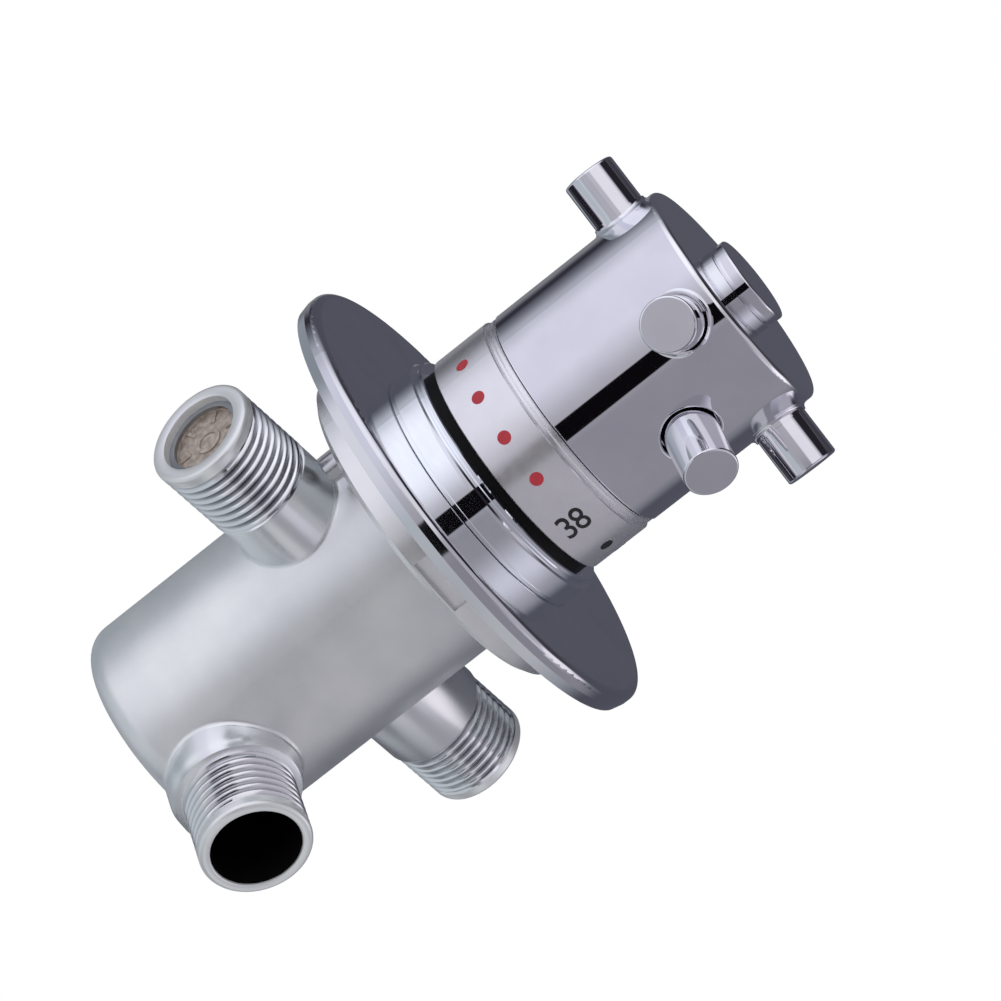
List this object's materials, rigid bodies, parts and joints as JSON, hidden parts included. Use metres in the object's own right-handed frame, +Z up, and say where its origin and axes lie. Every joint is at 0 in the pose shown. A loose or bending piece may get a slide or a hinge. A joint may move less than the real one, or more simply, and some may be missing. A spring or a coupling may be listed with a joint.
{
  "type": "thermostatic mixing valve",
  "caption": "Wall-built mixing valve: cylindrical cast body with side inlets and a top outlet, round wall plate, dial ring and a drum handle with radial pegs and a safety button.",
  "frame": {"origin": "on the valve axis in the wall plane, level with the rear of the wall plate's rim", "axes": "-Y out of the wall along the handle, +Z up along the mixed outlet, +X along the right inlet"},
  "size_m": [0.0981, 0.1407, 0.0924],
  "materials": {
    "satin_chrome": "pearl-blasted chrome plate on cast brass",
    "satin_chrome_ring": "satin chrome plate on turned brass",
    "screw_steel": "bright steel",
    "plate_chrome": "polished chrome",
    "gasket_foam": "closed-cell black foam",
    "collar_chrome": "polished chrome",
    "glide_black": "black acetal",
    "dial_satin_chrome": "fine satin chrome",
    "bead_chrome": "polished chrome",
    "handle_chrome": "polished chrome",
    "peg_chrome": "polished chrome",
    "button_chrome": "polished chrome",
    "spring_steel": "spring wire",
    "cap_chrome": "polished chrome",
    "turned_brass": "turned brass",
    "housing_plastic": "glass-filled plastic",
    "seal_rubber": "black rubber",
    "capsule_copper": "drawn copper alloy",
    "shuttle_plastic": "dark engineering plastic",
    "strainer_plastic": "brown-grey plastic",
    "insert_plastic": "grey plastic"
  },
  "bodies": {
    "valve": {"valve_body": "satin_chrome", "clamp_ring": "satin_chrome_ring", "plate_screws": "screw_steel", "wall_plate": "plate_chrome", "plate_gasket": "gasket_foam", "front_collar": "collar_chrome", "glide_ring": "glide_black", "dial_ring": "dial_satin_chrome", "stop_ring": "bead_chrome", "cartridge_nut": "turned_brass", "cartridge_housing": "housing_plastic", "sealing_rings": "seal_rubber", "return_spring": "spring_steel", "retaining_clip_right": "spring_steel", "strainer_right": "strainer_plastic", "check_valve_body_right": "insert_plastic", "check_valve_spring_right": "spring_steel", "retaining_clip_left": "spring_steel", "strainer_left": "strainer_plastic", "check_valve_body_left": "insert_plastic", "check_valve_spring_left": "spring_steel"},
    "handle": {"handle": "handle_chrome", "handle_peg_upper_right": "peg_chrome", "handle_peg_upper_left": "peg_chrome", "handle_peg_lower_left": "peg_chrome", "handle_peg_lower_right": "peg_chrome", "button_spring": "spring_steel", "cap_base": "cap_chrome", "cap_disc": "cap_chrome", "handle_screw": "screw_steel", "spindle": "turned_brass"},
    "safety_button": {"safety_button": "button_chrome"},
    "regulator": {"regulator_nut": "turned_brass", "regulator_clip": "spring_steel", "overload_spring": "spring_steel"},
    "wax_pin": {"wax_pin": "spring_steel"},
    "mixing_shuttle": {"wax_capsule": "capsule_copper", "mixing_shuttle": "shuttle_plastic"},
    "poppet_right": {"check_valve_poppet_right": "insert_plastic"},
    "poppet_left": {"check_valve_poppet_left": "insert_plastic"}
  },
  "joints": [
    {"name": "handle_turn", "type": "hinge", "parent": "valve", "child": "handle", "pos_m": [0, 0, 0], "axis": [0, -1, 0], "range_deg": [-98, 125]},
    {"name": "safety_button_press", "type": "slide", "parent": "handle", "child": "safety_button", "axis": [0.0471, 0, -0.9989], "range_m": [0, 0.0025], "stiffness_N_per_m": 300, "springref_m": -0.004, "deforming": ["button_spring"]},
    {"name": "regulator_slide", "type": "slide", "parent": "valve", "child": "regulator", "axis": [0, -1, 0], "range_m": [-0.00105, 0.00083]},
    {"name": "overload_slide", "type": "slide", "parent": "regulator", "child": "wax_pin", "axis": [0, -1, 0], "range_m": [0, 0.0015], "stiffness_N_per_m": 3000, "springref_m": -0.002, "deforming": ["overload_spring"]},
    {"name": "wax_expansion", "type": "slide", "parent": "wax_pin", "child": "mixing_shuttle", "axis": [0, 1, 0], "range_m": [0, 0.0015], "stiffness_N_per_m": 1500, "springref_m": -0.003, "deforming": ["return_spring"]},
    {"name": "poppet_right_slide", "type": "slide", "parent": "valve", "child": "poppet_right", "axis": [-1, 0, 0], "range_m": [0, 0.0035], "stiffness_N_per_m": 60, "springref_m": -0.002, "deforming": ["check_valve_spring_right"]},
    {"name": "poppet_left_slide", "type": "slide", "parent": "valve", "child": "poppet_left", "axis": [1, 0, 0], "range_m": [0, 0.0035], "stiffness_N_per_m": 60, "springref_m": -0.002, "deforming": ["check_valve_spring_left"]}
  ],
  "couplings": [
    {"joint": "regulator_slide", "follows": "handle_turn", "m_per_rad": -0.00047746}
  ]
}
